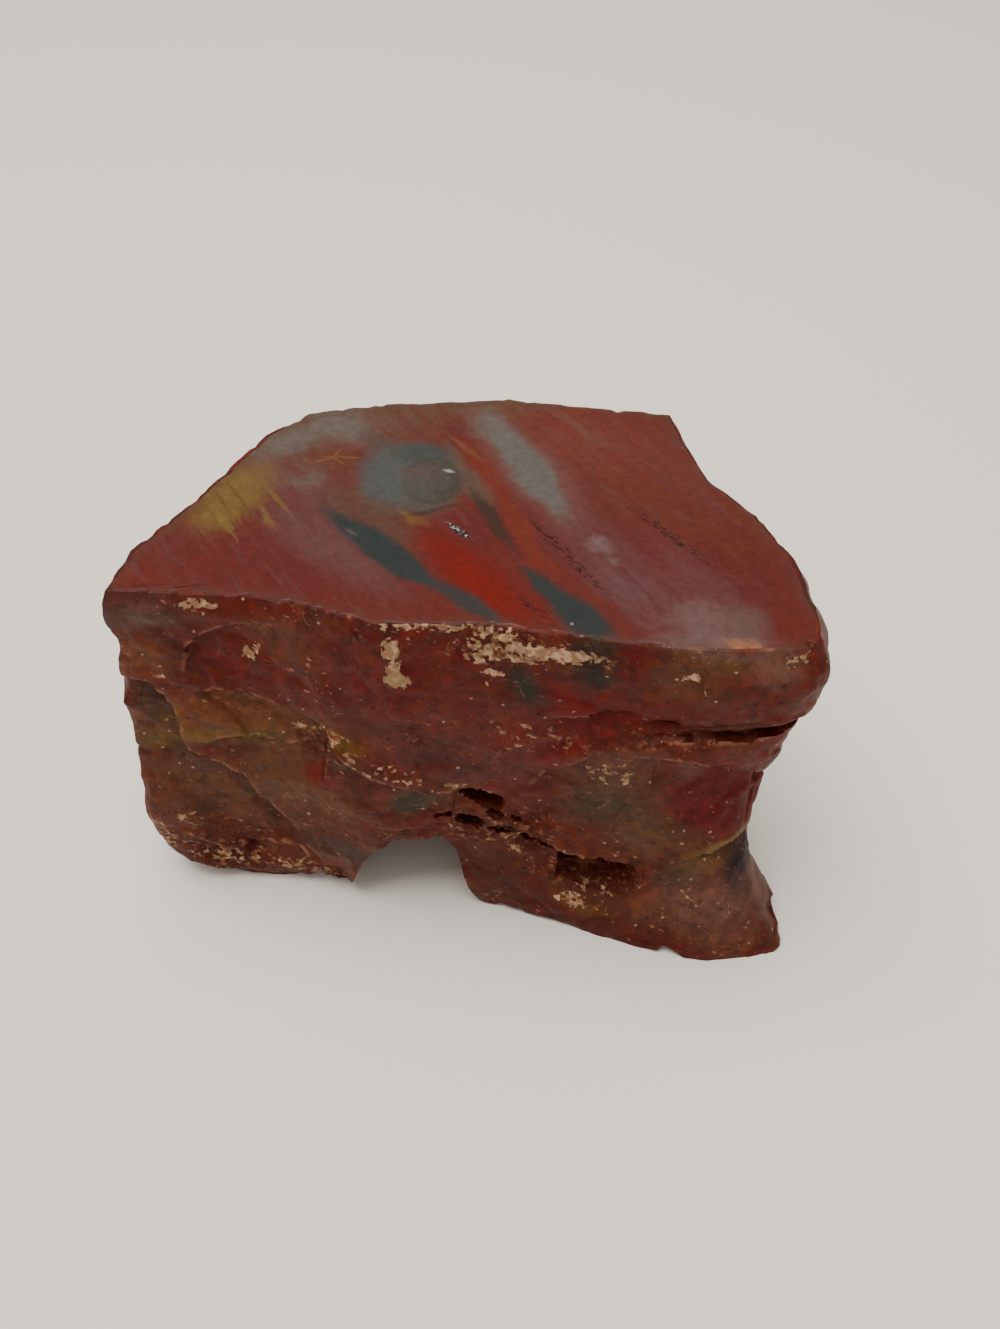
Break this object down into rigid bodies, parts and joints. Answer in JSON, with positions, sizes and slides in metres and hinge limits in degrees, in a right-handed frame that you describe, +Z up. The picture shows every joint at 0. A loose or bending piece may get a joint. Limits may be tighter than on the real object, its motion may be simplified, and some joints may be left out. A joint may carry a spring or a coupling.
{
  "type": "petrified wood specimen",
  "caption": "Block of petrified wood, sawn flat and polished on top, with rough broken sides, a flared foot and a small arch under the front edge.",
  "frame": {"origin": "centre of the bounding box, at the ground that the stone stands on", "axes": "+Z up and square to the polished top, +X to the right along the longest side of the front, +Y from the front to the back"},
  "size_m": [0.1445, 0.0874, 0.094],
  "materials": {
    "jasper": "polished on top, waxy broken stone on the other sides"
  },
  "bodies": {
    "root": {"petrified_wood": "jasper"}
  },
  "joints": []
}
